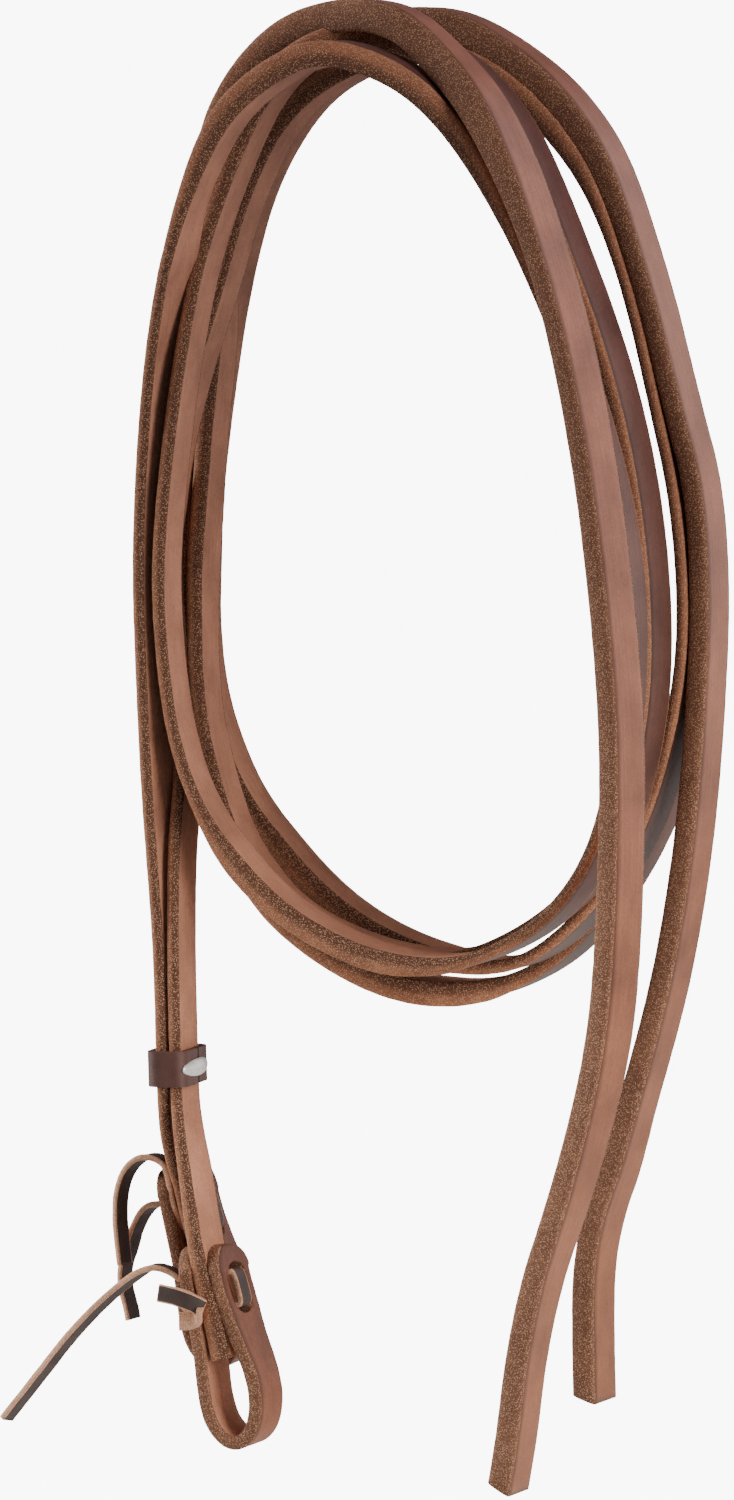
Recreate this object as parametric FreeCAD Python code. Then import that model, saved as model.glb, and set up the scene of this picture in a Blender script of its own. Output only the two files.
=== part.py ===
import FreeCAD, Part
import math
import os

# A pair of split reins hung up as a loose coil.  Units are millimetres and +Z is up.
# The origin is the point under the top of the coil where a peg carries it.

# ---------------------------------------------------------------- driving dimensions
STRAP_W = 16.0          # both reins and both water straps are cut to this width
TAIL_T = 5.8            # rein leather at the heavy cut tail
BIT_T = 3.4             # rein leather at the bit end
LOOP_T = 2.8            # water strap leather
LACE_W = 4.5
LACE_T = 1.4
SLOT_LEN = 15.0         # lace slot, along the strap
SLOT_W = 6.4            # lace slot, across the strap
TIP_R = 7.5             # rounding of the water straps' ends, in plan

NEAR_Y = -21.5          # middle of the near rein's bit end, across the straps
FAR_Y = -5.0            # middle of the far rein's bit end
FAR_SHIFT = (-12.0, 19.5)       # the far bit end lies this far left of and above the near one

STACK = (-38.0, -343.5)         # middle of the near lacing, where three layers lie together
STACK_LEAN = math.radians(15.6)         # the near lacing's lean from upright

BAND_GAP_X = 0.4        # keeper to straps, through the stack
BAND_GAP_Y = 0.6        # keeper to straps, across the width
BAND_WALL = 2.0
BAND_H = 10.0
BAND_Z = -279.7         # middle of the keeper at rest
BAND_LEAN = math.radians(-1.7)          # the straps lean this far where the keeper rides
BAND_X = -50.2          # middle of the two stacked straps there
BAND_Y = -17.0
STACKED_T = 7.4         # the two straps and the air between them
OUTER_R = 4.0
INNER_R = 1.0

STAPLE_L = 13.0
STAPLE_H = 4.2
STAPLE_T = 0.9
STAPLE_LEG_R = 0.5
STAPLE_LEG_SPAN = 8.0
STAPLE_FIT = 0.05       # clearance round each leg
BUTT_GAP = 0.5          # slit where the keeper's two ends meet

BEND_SHARE = 0.45       # share of the shorter run that a bend takes on each side

# ------------------------------------------------- the reins' routes, from tail to bit end
# Each point is the middle of the strap; the strap's width always lies along Y.
REIN_FAR_ROUTE = [
    (53.5, -34, -390.5), (56, -34, -376.5), (58.5, -34, -354), (63, -34, -332),
    (68.5, -34, -315.5), (75, -34, -293), (81, -34, -266.5), (83.5, -34, -239),
    (84.5, -34, -208.5), (84.5, -34, -178.5), (81.5, -34, -143.5), (76.5, -34.5, -105),
    (68.5, -34.5, -66.5), (57.5, -32, -36.5), (43, -27, -10), (29.5, -20, 3.5),
    (18.5, -19, 13), (6.5, -16, 15.5), (-5.5, -12, 14.5), (-16.5, -10, 11),
    (-26, -8, 4), (-34, -6, -5), (-41, -3, -16), (-46.5, 4, -30.5),
    (-49, 12.5, -46), (-48.5, 15.5, -60), (-48.5, 15.5, -77), (-51.5, 15.5, -101.5),
    (-52.5, 16, -113), (-52, 12.5, -125), (-51, 6.5, -139), (-49.5, 2, -153),
    (-49, 1, -167), (-47.5, 1, -183.5), (-43, 1, -201.5), (-37, 1, -220),
    (-25, 1, -235), (-10, 1, -243.5), (8.5, 1, -249), (25, 1, -250),
    (39.5, 1, -244.5), (53.5, 1, -236.5), (65, 1, -226), (74, 1, -213.5),
    (80.5, 1, -192.5), (84, 1, -170.5), (84, 1, -145.5), (81, 1, -117.5),
    (75, 1, -90), (66.5, 0.5, -64), (55.5, 0, -37.5), (42.5, -0.5, -13),
    (29.5, -1, 0.5), (17, -2.5, 7.5), (5.5, -8, 9.5), (-5.5, -14, 8),
    (-16, -16, 1.5), (-24, -17, -8.5), (-30.5, -17.5, -23), (-37.5, -17.5, -42.5),
    (-43.5, -17.5, -63.5), (-49.5, -17.5, -99.5), (-53.5, -17, -136), (-52.5, -17, -160),
    (-49.5, -17, -183), (-44, -17, -200.5), (-34.5, -17, -217.5), (-21, -17, -231.5),
    (-6, -17, -241), (13, -17, -248), (32.5, -17, -248), (49.5, -17, -241.5),
    (63.5, -17, -231.5), (74.5, -17, -215.5), (80.5, -17, -194), (83, -17, -168),
    (83, -17, -141.5), (78.5, -17, -115.5), (70.5, -17, -88), (59, -17.5, -60),
    (48, -18.5, -37), (36.5, -21, -17), (25, -25, -4), (12, -29, 3),
    (-1.5, -32, 5.5), (-14, -34, -0.5), (-25, -35, -9.5), (-32, -34.5, -20),
    (-38.5, -34.5, -35), (-43, -33.5, -47.5), (-48, -28, -59), (-55, -20, -83),
    (-58.5, -17.5, -114), (-59.5, -17, -142), (-58.5, -17, -170), (-57, -17, -201),
    (-55, -17, -226.5), (-53, -17, -252), (-52.5, -17, -270), (-52, -17, -290),
    (-52.5, -12.5, -300), (-52.5, -5, -311.5), (-50.5, -5, -321), (-47.5, -5, -330.5),
    (-45, -5, -341.5),
]
REIN_NEAR_ROUTE = [
    (61.5, 18, -373.5), (61, 18, -356.5), (61, 18, -336.5), (64, 18, -320.5),
    (70, 18, -304.5), (76.5, 18, -281.5), (83, 18, -257.5), (87.5, 18, -234.5),
    (91, 18, -209.5), (93.5, 18, -180), (95, 18, -146), (93, 18, -115.5),
    (86.5, 18, -93), (77.5, 18, -57.5), (66, 18, -27), (52.5, 18, -9),
    (38, 18, 3), (24.5, 18, 11), (13, 18, 13.5), (-0.5, 18, 12),
    (-14, 18, 9), (-26, 18, 2.5), (-35, 20, -6.5), (-43, 23, -19.5),
    (-51.5, 28, -39.5), (-58, 30.5, -65), (-61.5, 32, -85), (-63.5, 32, -102),
    (-63.5, 28, -123.5), (-61.5, 21.5, -140), (-60, 18, -163), (-57.5, 18, -181.5),
    (-52.5, 18, -202.5), (-44, 18, -224), (-30.5, 18, -240), (-14, 18, -251.5),
    (4, 18, -259), (18.5, 24, -261), (31.5, 33.5, -259.5), (45.5, 35.5, -252),
    (58.5, 35.5, -239), (68, 35.5, -225.5), (77, 35.5, -207.5), (83.5, 35.5, -187),
    (87, 35.5, -164.5), (88, 35.5, -145), (86, 35.5, -119.5), (80.5, 35.5, -94),
    (71.5, 35.5, -61), (59.5, 35.5, -31.5), (45.5, 35.5, -10.5), (30.5, 35.5, 1.5),
    (15.5, 35.5, 6), (0.5, 35.5, 6), (-13.5, 35, 2), (-25, 34, -5),
    (-34, 32, -16.5), (-42.5, 31.5, -33.5), (-49, 32.5, -56.5), (-52.5, 32, -75),
    (-56.5, 32, -102), (-57.5, 28, -123.5), (-55.5, 21.5, -140), (-54.5, 18, -158.5),
    (-52, 18, -178.5), (-45.5, 18, -196.5), (-37, 18, -212), (-25.5, 18, -226),
    (-11, 18, -238.5), (5.5, 18, -247), (22, 18, -251.5), (37.5, 18, -252),
    (50.5, 18, -245.5), (66, 18, -230), (76.5, 18, -213.5), (84, 18, -192.5),
    (89, 18, -168.5), (90, 18, -146.5), (87.5, 18, -118.5), (81.5, 18, -93),
    (74, 18, -61.5), (63, 18, -32), (49.5, 18, -14), (35, 17.5, -2),
    (20.5, 16.5, 4.5), (7.5, 15, 5.5), (-4.5, 10, 2.5), (-16, 5, -4.5),
    (-25.5, 2, -15), (-33, -1, -33), (-37.5, -1, -48.5), (-43, -1, -66.5),
    (-49, -1, -83.5), (-54.5, -1.2, -103.5), (-57.5, -1, -123), (-59, -0.5, -140),
    (-58, -0.5, -160), (-55.5, -0.5, -176.5), (-53.5, -0.6, -188), (-50.5, -7, -200.5),
    (-50, -12, -212.5), (-49.5, -15, -223.5), (-49, -17, -246), (-48.5, -17, -270),
    (-48, -17, -289), (-45.5, -20, -302), (-42.5, -21.5, -318.5), (-40.5, -21.5, -331),
    (-38.5, -21.5, -340.5), (-35.5, -21.5, -350), (-33, -21.5, -361),
]

# The near water strap, folded into the loop that goes round a bit ring: (x, z), from the
# left leg's tip down, round the bottom and up to the right leg's tip.
LOOP_ROUTE = [
    (-44.5, -330.5), (-43.5, -338), (-42.5, -345), (-41, -351.5), (-39.5, -358.5),
    (-38.5, -366.5), (-37.5, -373), (-35.5, -378.5), (-31.5, -382.5), (-27.5, -383),
    (-24, -379.5), (-22.5, -373.5), (-23, -367.5), (-25, -361.5), (-28, -356),
    (-31, -349.5), (-34, -341.5), (-35.5, -335), (-36.5, -329.5),
]
FAR_TIP_SPREAD = 1.1    # the far loop's left tip stands off to let its lace past

# Lacing in the stack's own axes: (through the stack, up the stack), both from its middle.
PASS = 5.0              # each pass of the lace, above and below the middle
BIGHT = [(5.0, PASS), (6.9, PASS - 0.4), (7.1, 0.0), (6.9, 0.4 - PASS), (5.0, -PASS)]

NEAR_STUB = [(-53, -343.5), (-47.5, -346)]
NEAR_TAIL = [
    (-50.5, -337.5), (-56, -336.5), (-62, -340), (-71.5, -348), (-81.5, -358.5),
    (-90.5, -370), (-101, -383),
]
FAR_LOW_TAIL = [
    (-68.5, -355), (-69.5, -350.5), (-71, -345.5), (-71, -340), (-69, -334.5),
    (-67.5, -329), (-65, -324), (-62, -321.5),
]
FAR_HIGH_TAIL = [
    (-56.1, -308.7), (-59.5, -307), (-64, -307.5), (-68, -311.5), (-70, -317),
    (-70.5, -323.5), (-70, -331), (-69, -338.5),
]
SIDE_STEP = -5.2        # the far lace's rising part passes beside its own crossing


# ---------------------------------------------------------------- general shapes
def vec(point):
    return FreeCAD.Vector(*point)


def rein_thickness(share):
    """Rein leather, where share is 0 at the bit end and 1 at the tail."""
    return BIT_T + (TAIL_T - BIT_T) * share ** 3


def shares_from_tail(route):
    """How much of the rein is left before the bit end, at each point of its route."""
    runs = [(vec(b) - vec(a)).Length for a, b in zip(route, route[1:])]
    total = sum(runs)
    left = [1.0]
    for run in runs:
        left.append(left[-1] - run / total)
    return [max(0.0, share) for share in left]


def side_normals(route):
    """Miter vector at each point, square to Y, that keeps a strap's faces parallel."""
    runs = [(vec(b) - vec(a)) for a, b in zip(route, route[1:])]
    square = [FreeCAD.Vector(run.z, 0, -run.x).normalize() for run in runs]
    miters = [square[0]]
    for one, two in zip(square, square[1:]):
        miters.append((one + two) / (1.0 + one.dot(two)))
    miters.append(square[-1])
    return miters


def bent_wire(points):
    """Edges through a row of points: straight runs joined by tangent arcs."""
    edges = []
    start = points[0]
    for before, corner, after in zip(points, points[1:], points[2:]):
        back = before - corner
        ahead = after - corner
        take = BEND_SHARE * min(back.Length, ahead.Length)
        back.normalize()
        ahead.normalize()
        half_turn = (math.pi - back.getAngle(ahead)) / 2
        radius = take / math.tan(half_turn)
        inward = (back + ahead).normalize()
        centre = corner + inward * (radius / math.cos(half_turn))
        leave = corner + back * take
        join = corner + ahead * take
        edges.append(Part.LineSegment(start, leave).toShape())
        edges.append(Part.Arc(leave, centre - inward * radius, join).toShape())
        start = join
    edges.append(Part.LineSegment(start, points[-1]).toShape())
    return edges


def strap(route, width, thicknesses):
    """Closed flat strap along a route of middle points, its width along Y."""
    across = FreeCAD.Vector(0, width / 2, 0)
    corners = [(-1, -1), (1, -1), (1, 1), (-1, 1)]
    wires = []
    for face, edge in corners:
        wires.append(bent_wire([
            vec(p) + m * (face * t / 2) + across * edge
            for p, m, t in zip(route, side_normals(route), thicknesses)
        ]))
    faces = []
    for one, two in zip(wires, wires[1:] + wires[:1]):
        faces += [Part.makeRuledSurface(a, b) for a, b in zip(one, two)]
    for end, spot in ((0, "FirstParameter"), (-1, "LastParameter")):
        tips = [wire[end].valueAt(getattr(wire[end], spot)) for wire in wires]
        faces.append(Part.makeRuledSurface(
            Part.LineSegment(tips[0], tips[1]).toShape(),
            Part.LineSegment(tips[3], tips[2]).toShape()))
    shell = Part.makeShell(faces)
    shell.sewShape()
    solid = Part.makeSolid(shell)
    if solid.Volume < 0:
        solid.reverse()
    return solid


def even(route, thickness):
    return [thickness] * len(route)


def upright_prism(outline, height):
    """Prism of a closed flat wire lying in XY, standing on z = 0."""
    return Part.Face(outline).extrude(FreeCAD.Vector(0, 0, height))


def rounded_rectangle(size_x, size_y, radius):
    """Closed wire round the origin in XY."""
    box = Part.makeBox(size_x, size_y, 1, FreeCAD.Vector(-size_x / 2, -size_y / 2, 0))
    upright = [e for e in box.Edges if abs(e.tangentAt(e.FirstParameter).z) > 0.99]
    rounded = box.makeFillet(radius, upright)
    floor = min(rounded.Faces, key=lambda face: face.CenterOfMass.z)
    return Part.Wire(Part.__sortEdges__(floor.Edges))


def stack_point(middle, through, up):
    """A point given in a lacing's own axes, as (x, z)."""
    x = middle[0] + through * math.cos(STACK_LEAN) - up * math.sin(STACK_LEAN)
    z = middle[1] + through * math.sin(STACK_LEAN) + up * math.cos(STACK_LEAN)
    return (x, z)


def slot_cutter(middle, y):
    """Round-ended bar through all three layers of a lacing."""
    reach = 24.0
    outline = rounded_rectangle(SLOT_LEN, SLOT_W, SLOT_W / 2 - 0.01)
    bar = upright_prism(outline, reach)
    bar.translate(FreeCAD.Vector(0, 0, -reach / 2))
    bar.rotate(FreeCAD.Vector(), FreeCAD.Vector(0, 1, 0), 90 - math.degrees(STACK_LEAN))
    bar.translate(FreeCAD.Vector(middle[0], y, middle[1]))
    return bar


def round_tip(solid, tip, inner):
    """Round a strap's square end in plan; tip and inner are its last two middle points."""
    along = (vec(tip) - vec(inner)).normalize()
    centre = vec(tip) - along * TIP_R
    normal = FreeCAD.Vector(along.z, 0, -along.x)
    reach = 2 * LOOP_T
    disc = Part.makeCylinder(TIP_R, 2 * reach, centre - normal * reach, normal)
    block = Part.makeBox(2 * reach, STRAP_W + 2, TIP_R + 1)
    block.translate(FreeCAD.Vector(-reach, -STRAP_W / 2 - 1, 0))
    turn = FreeCAD.Rotation(FreeCAD.Vector(0, 0, 1), along)
    block.Placement = FreeCAD.Placement(centre, turn).multiply(block.Placement)
    side = Part.makeBox(2 * reach, STRAP_W - 2 * TIP_R, 2 * TIP_R)
    side.translate(FreeCAD.Vector(-reach, TIP_R - STRAP_W / 2, -TIP_R))
    return solid.cut(block.cut(disc).cut(side))


# ---------------------------------------------------------------- the pieces
def far_stack():
    return (STACK[0] + FAR_SHIFT[0], STACK[1] + FAR_SHIFT[1])


def rein(route, middle, y):
    thicknesses = [rein_thickness(share) for share in shares_from_tail(route)]
    return strap(route, STRAP_W, thicknesses).cut(slot_cutter(middle, y))


def water_strap(shift, middle, y, tip_spread):
    route = [(x + shift[0], y, z + shift[1]) for x, z in LOOP_ROUTE]
    for place, share in ((0, 1.0), (1, 0.55)):
        x, _, z = route[place]
        route[place] = (x - tip_spread * share, y, z)
    solid = strap(route, STRAP_W, even(route, LOOP_T))
    solid = round_tip(solid, route[0], route[1])
    solid = round_tip(solid, route[-1], route[-2])
    return solid.cut(slot_cutter(middle, y))


def lace(route):
    return strap(route, LACE_W, even(route, LACE_T))


def near_lace():
    low = stack_point(STACK, -7.0, -PASS)
    bight = [stack_point(STACK, *spot) for spot in reversed(BIGHT)]
    high = stack_point(STACK, -7.0, PASS)
    flat = NEAR_STUB + [low] + bight + [high] + NEAR_TAIL
    return lace([(x, NEAR_Y, z) for x, z in flat])


def far_lace():
    """Crosses the lacing, turns in its bight, comes back and rises behind the left leg."""
    middle = far_stack()
    flat = FAR_LOW_TAIL + [stack_point(middle, -7.5, PASS)]
    flat += [stack_point(middle, *spot) for spot in BIGHT]
    flat.append(stack_point(middle, 0.3, -PASS))
    route = [(x, FAR_Y, z) for x, z in flat]
    rising = [(-2.0, -4.1, -0.8), (-2.45, 0.0, -3.6), (-2.3, 3.2, SIDE_STEP),
              (-2.05, 8.0, SIDE_STEP), (-1.6, 13.5, SIDE_STEP)]
    for through, up, step in rising:
        x, z = stack_point(middle, through, up)
        route.append((x, FAR_Y + step, z))
    return lace(route + [(x, FAR_Y + SIDE_STEP, z) for x, z in FAR_HIGH_TAIL])


def band_size():
    inner = (STACKED_T + 2 * BAND_GAP_X, STRAP_W + 2 * BAND_GAP_Y)
    return inner, (inner[0] + 2 * BAND_WALL, inner[1] + 2 * BAND_WALL)


def staple_leg(y, radius):
    """Leg through the band's right wall, in the band's own axes."""
    inner, outer = band_size()
    start = FreeCAD.Vector(inner[0] / 2, y, 0)
    return Part.makeCylinder(radius, BAND_WALL + STAPLE_T / 2, start, FreeCAD.Vector(1, 0, 0))


def staple_leg_places():
    return (-STAPLE_LEG_SPAN / 2, STAPLE_LEG_SPAN / 2)


def seat_on_straps(solid):
    """Move a piece from the band's own axes to the straps it rides on."""
    solid.rotate(FreeCAD.Vector(), FreeCAD.Vector(0, 1, 0), math.degrees(BAND_LEAN))
    solid.translate(FreeCAD.Vector(BAND_X, BAND_Y, BAND_Z))
    return solid


def keeper_band():
    inner, outer = band_size()
    body = upright_prism(rounded_rectangle(outer[0], outer[1], OUTER_R), BAND_H)
    body = body.cut(upright_prism(rounded_rectangle(inner[0], inner[1], INNER_R), BAND_H))
    body.translate(FreeCAD.Vector(0, 0, -BAND_H / 2))
    for y in staple_leg_places():
        body = body.cut(staple_leg(y, STAPLE_LEG_R + STAPLE_FIT))
    slit = Part.makeBox(2 * BAND_WALL, BUTT_GAP, 2 * BAND_H)
    slit.translate(FreeCAD.Vector(inner[0] / 2 - BAND_WALL / 2, BUTT_GAP, -BAND_H))
    return seat_on_straps(body.cut(slit))


def keeper_staple():
    """Flat oval staple that holds the band's two ends together."""
    inner, outer = band_size()
    oval = Part.Ellipse(FreeCAD.Vector(), STAPLE_L / 2, STAPLE_H / 2).toShape()
    crown = upright_prism(Part.Wire(oval), STAPLE_T)
    crown = crown.makeFillet(STAPLE_T / 3, [max(crown.Edges, key=lambda e: e.CenterOfMass.z)])
    crown.rotate(FreeCAD.Vector(), FreeCAD.Vector(0, 0, 1), 90)
    crown.rotate(FreeCAD.Vector(), FreeCAD.Vector(0, 1, 0), 90)
    crown.translate(FreeCAD.Vector(outer[0] / 2 + 0.01, 0, 0))
    for y in staple_leg_places():
        crown = crown.fuse(staple_leg(y, STAPLE_LEG_R))
    return seat_on_straps(crown.removeSplitter())


def build():
    return {
        "rein_near": rein(REIN_NEAR_ROUTE, STACK, NEAR_Y),
        "rein_far": rein(REIN_FAR_ROUTE, far_stack(), FAR_Y),
        "water_strap_near": water_strap((0, 0), STACK, NEAR_Y, 0.0),
        "water_strap_far": water_strap(FAR_SHIFT, far_stack(), FAR_Y, FAR_TIP_SPREAD),
        "tie_lace_near": near_lace(),
        "tie_lace_far": far_lace(),
        "keeper_band": keeper_band(),
        "keeper_staple": keeper_staple(),
    }


def main():
    os.makedirs("parts", exist_ok=True)
    for name, shape in build().items():
        box = shape.BoundBox
        print(f"{name}: valid {shape.isValid()} solids {len(shape.Solids)} "
              f"volume {shape.Volume:.0f} size {box.XLength:.1f} {box.YLength:.1f} {box.ZLength:.1f}")
        shape.exportStep(f"parts/{name}.step")


main()
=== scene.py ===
import math

import bmesh
import bpy
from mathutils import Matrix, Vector, noise


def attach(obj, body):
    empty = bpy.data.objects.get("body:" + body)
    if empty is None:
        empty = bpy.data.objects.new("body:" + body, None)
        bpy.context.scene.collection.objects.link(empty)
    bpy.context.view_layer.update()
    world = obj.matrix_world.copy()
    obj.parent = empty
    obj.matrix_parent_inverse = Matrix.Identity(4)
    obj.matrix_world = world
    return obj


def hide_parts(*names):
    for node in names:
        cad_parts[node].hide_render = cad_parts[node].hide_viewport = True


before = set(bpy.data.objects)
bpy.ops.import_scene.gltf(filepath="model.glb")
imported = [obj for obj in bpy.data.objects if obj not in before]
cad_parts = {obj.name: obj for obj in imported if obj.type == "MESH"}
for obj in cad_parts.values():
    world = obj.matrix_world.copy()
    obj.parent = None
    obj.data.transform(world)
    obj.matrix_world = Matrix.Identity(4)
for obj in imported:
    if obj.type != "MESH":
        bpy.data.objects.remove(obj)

# A pair of split reins hung up as a loose coil.  Metres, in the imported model's frame.

# ------------------------------------------------- routes, from tail to bit end
# Each point is the middle of the strap; the strap's width lies along Y.
REIN_FAR_ROUTE = [
    (0.0535, -0.034, -0.3905), (0.056, -0.034, -0.3765), (0.0585, -0.034, -0.354),
    (0.063, -0.034, -0.332), (0.0685, -0.034, -0.3155), (0.075, -0.034, -0.293),
    (0.081, -0.034, -0.2665), (0.0835, -0.034, -0.239), (0.0845, -0.034, -0.2085),
    (0.0845, -0.034, -0.1785), (0.0815, -0.034, -0.1435), (0.0765, -0.0345, -0.105),
    (0.0685, -0.0345, -0.0665), (0.0575, -0.032, -0.0365), (0.043, -0.027, -0.01),
    (0.0295, -0.02, 0.0035), (0.0185, -0.019, 0.013), (0.0065, -0.016, 0.0155),
    (-0.0055, -0.012, 0.0145), (-0.0165, -0.01, 0.011), (-0.026, -0.008, 0.004),
    (-0.034, -0.006, -0.005), (-0.041, -0.003, -0.016), (-0.0465, 0.004, -0.0305),
    (-0.049, 0.0125, -0.046), (-0.0485, 0.0155, -0.06), (-0.0485, 0.0155, -0.077),
    (-0.0515, 0.0155, -0.1015), (-0.0525, 0.016, -0.113), (-0.052, 0.0125, -0.125),
    (-0.051, 0.0065, -0.139), (-0.0495, 0.002, -0.153), (-0.049, 0.001, -0.167),
    (-0.0475, 0.001, -0.1835), (-0.043, 0.001, -0.2015), (-0.037, 0.001, -0.22),
    (-0.025, 0.001, -0.235), (-0.01, 0.001, -0.2435), (0.0085, 0.001, -0.249),
    (0.025, 0.001, -0.25), (0.0395, 0.001, -0.2445), (0.0535, 0.001, -0.2365),
    (0.065, 0.001, -0.226), (0.074, 0.001, -0.2135), (0.0805, 0.001, -0.1925),
    (0.084, 0.001, -0.1705), (0.084, 0.001, -0.1455), (0.081, 0.001, -0.1175),
    (0.075, 0.001, -0.09), (0.0665, 0.0005, -0.064), (0.0555, 0, -0.0375),
    (0.0425, -0.0005, -0.013), (0.0295, -0.001, 0.0005), (0.017, -0.0025, 0.0075),
    (0.0055, -0.008, 0.0095), (-0.0055, -0.014, 0.008), (-0.016, -0.016, 0.0015),
    (-0.024, -0.017, -0.0085), (-0.0305, -0.0175, -0.023), (-0.0375, -0.0175, -0.0425),
    (-0.0435, -0.0175, -0.0635), (-0.0495, -0.0175, -0.0995), (-0.0535, -0.017, -0.136),
    (-0.0525, -0.017, -0.16), (-0.0495, -0.017, -0.183), (-0.044, -0.017, -0.2005),
    (-0.0345, -0.017, -0.2175), (-0.021, -0.017, -0.2315), (-0.006, -0.017, -0.241),
    (0.013, -0.017, -0.248), (0.0325, -0.017, -0.248), (0.0495, -0.017, -0.2415),
    (0.0635, -0.017, -0.2315), (0.0745, -0.017, -0.2155), (0.0805, -0.017, -0.194),
    (0.083, -0.017, -0.168), (0.083, -0.017, -0.1415), (0.0785, -0.017, -0.1155),
    (0.0705, -0.017, -0.088), (0.059, -0.0175, -0.06), (0.048, -0.0185, -0.037),
    (0.0365, -0.021, -0.017), (0.025, -0.025, -0.004), (0.012, -0.029, 0.003),
    (-0.0015, -0.032, 0.0055), (-0.014, -0.034, -0.0005), (-0.025, -0.035, -0.0095),
    (-0.032, -0.0345, -0.02), (-0.0385, -0.0345, -0.035), (-0.043, -0.0335, -0.0475),
    (-0.048, -0.028, -0.059), (-0.055, -0.02, -0.083), (-0.0585, -0.0175, -0.114),
    (-0.0595, -0.017, -0.142), (-0.0585, -0.017, -0.17), (-0.057, -0.017, -0.201),
    (-0.055, -0.017, -0.2265), (-0.053, -0.017, -0.252), (-0.0525, -0.017, -0.27),
    (-0.052, -0.017, -0.29), (-0.0525, -0.0125, -0.3), (-0.0525, -0.005, -0.3115),
    (-0.0505, -0.005, -0.321), (-0.0475, -0.005, -0.3305), (-0.045, -0.005, -0.3415),
]
REIN_NEAR_ROUTE = [
    (0.0615, 0.018, -0.3735), (0.061, 0.018, -0.3565), (0.061, 0.018, -0.3365),
    (0.064, 0.018, -0.3205), (0.07, 0.018, -0.3045), (0.0765, 0.018, -0.2815),
    (0.083, 0.018, -0.2575), (0.0875, 0.018, -0.2345), (0.091, 0.018, -0.2095),
    (0.0935, 0.018, -0.18), (0.095, 0.018, -0.146), (0.093, 0.018, -0.1155),
    (0.0865, 0.018, -0.093), (0.0775, 0.018, -0.0575), (0.066, 0.018, -0.027),
    (0.0525, 0.018, -0.009), (0.038, 0.018, 0.003), (0.0245, 0.018, 0.011),
    (0.013, 0.018, 0.0135), (-0.0005, 0.018, 0.012), (-0.014, 0.018, 0.009),
    (-0.026, 0.018, 0.0025), (-0.035, 0.02, -0.0065), (-0.043, 0.023, -0.0195),
    (-0.0515, 0.028, -0.0395), (-0.058, 0.0305, -0.065), (-0.0615, 0.032, -0.085),
    (-0.0635, 0.032, -0.102), (-0.0635, 0.028, -0.1235), (-0.0615, 0.0215, -0.14),
    (-0.06, 0.018, -0.163), (-0.0575, 0.018, -0.1815), (-0.0525, 0.018, -0.2025),
    (-0.044, 0.018, -0.224), (-0.0305, 0.018, -0.24), (-0.014, 0.018, -0.2515),
    (0.004, 0.018, -0.259), (0.0185, 0.024, -0.261), (0.0315, 0.0335, -0.2595),
    (0.0455, 0.0355, -0.252), (0.0585, 0.0355, -0.239), (0.068, 0.0355, -0.2255),
    (0.077, 0.0355, -0.2075), (0.0835, 0.0355, -0.187), (0.087, 0.0355, -0.1645),
    (0.088, 0.0355, -0.145), (0.086, 0.0355, -0.1195), (0.0805, 0.0355, -0.094),
    (0.0715, 0.0355, -0.061), (0.0595, 0.0355, -0.0315), (0.0455, 0.0355, -0.0105),
    (0.0305, 0.0355, 0.0015), (0.0155, 0.0355, 0.006), (0.0005, 0.0355, 0.006),
    (-0.0135, 0.035, 0.002), (-0.025, 0.034, -0.005), (-0.034, 0.032, -0.0165),
    (-0.0425, 0.0315, -0.0335), (-0.049, 0.0325, -0.0565), (-0.0525, 0.032, -0.075),
    (-0.0565, 0.032, -0.102), (-0.0575, 0.028, -0.1235), (-0.0555, 0.0215, -0.14),
    (-0.0545, 0.018, -0.1585), (-0.052, 0.018, -0.1785), (-0.0455, 0.018, -0.1965),
    (-0.037, 0.018, -0.212), (-0.0255, 0.018, -0.226), (-0.011, 0.018, -0.2385),
    (0.0055, 0.018, -0.247), (0.022, 0.018, -0.2515), (0.0375, 0.018, -0.252),
    (0.0505, 0.018, -0.2455), (0.066, 0.018, -0.23), (0.0765, 0.018, -0.2135),
    (0.084, 0.018, -0.1925), (0.089, 0.018, -0.1685), (0.09, 0.018, -0.1465),
    (0.0875, 0.018, -0.1185), (0.0815, 0.018, -0.093), (0.074, 0.018, -0.0615),
    (0.063, 0.018, -0.032), (0.0495, 0.018, -0.014), (0.035, 0.0175, -0.002),
    (0.0205, 0.0165, 0.0045), (0.0075, 0.015, 0.0055), (-0.0045, 0.01, 0.0025),
    (-0.016, 0.005, -0.0045), (-0.0255, 0.002, -0.015), (-0.033, -0.001, -0.033),
    (-0.0375, -0.001, -0.0485), (-0.043, -0.001, -0.0665), (-0.049, -0.001, -0.0835),
    (-0.0545, -0.0012, -0.1035), (-0.0575, -0.001, -0.123), (-0.059, -0.0005, -0.14),
    (-0.058, -0.0005, -0.16), (-0.0555, -0.0005, -0.1765), (-0.0535, -0.0006, -0.188),
    (-0.0505, -0.007, -0.2005), (-0.05, -0.012, -0.2125), (-0.0495, -0.015, -0.2235),
    (-0.049, -0.017, -0.246), (-0.0485, -0.017, -0.27), (-0.048, -0.017, -0.289),
    (-0.0455, -0.02, -0.302), (-0.0425, -0.0215, -0.3185), (-0.0405, -0.0215, -0.331),
    (-0.0385, -0.0215, -0.3405), (-0.0355, -0.0215, -0.35), (-0.033, -0.0215, -0.361),
]
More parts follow.
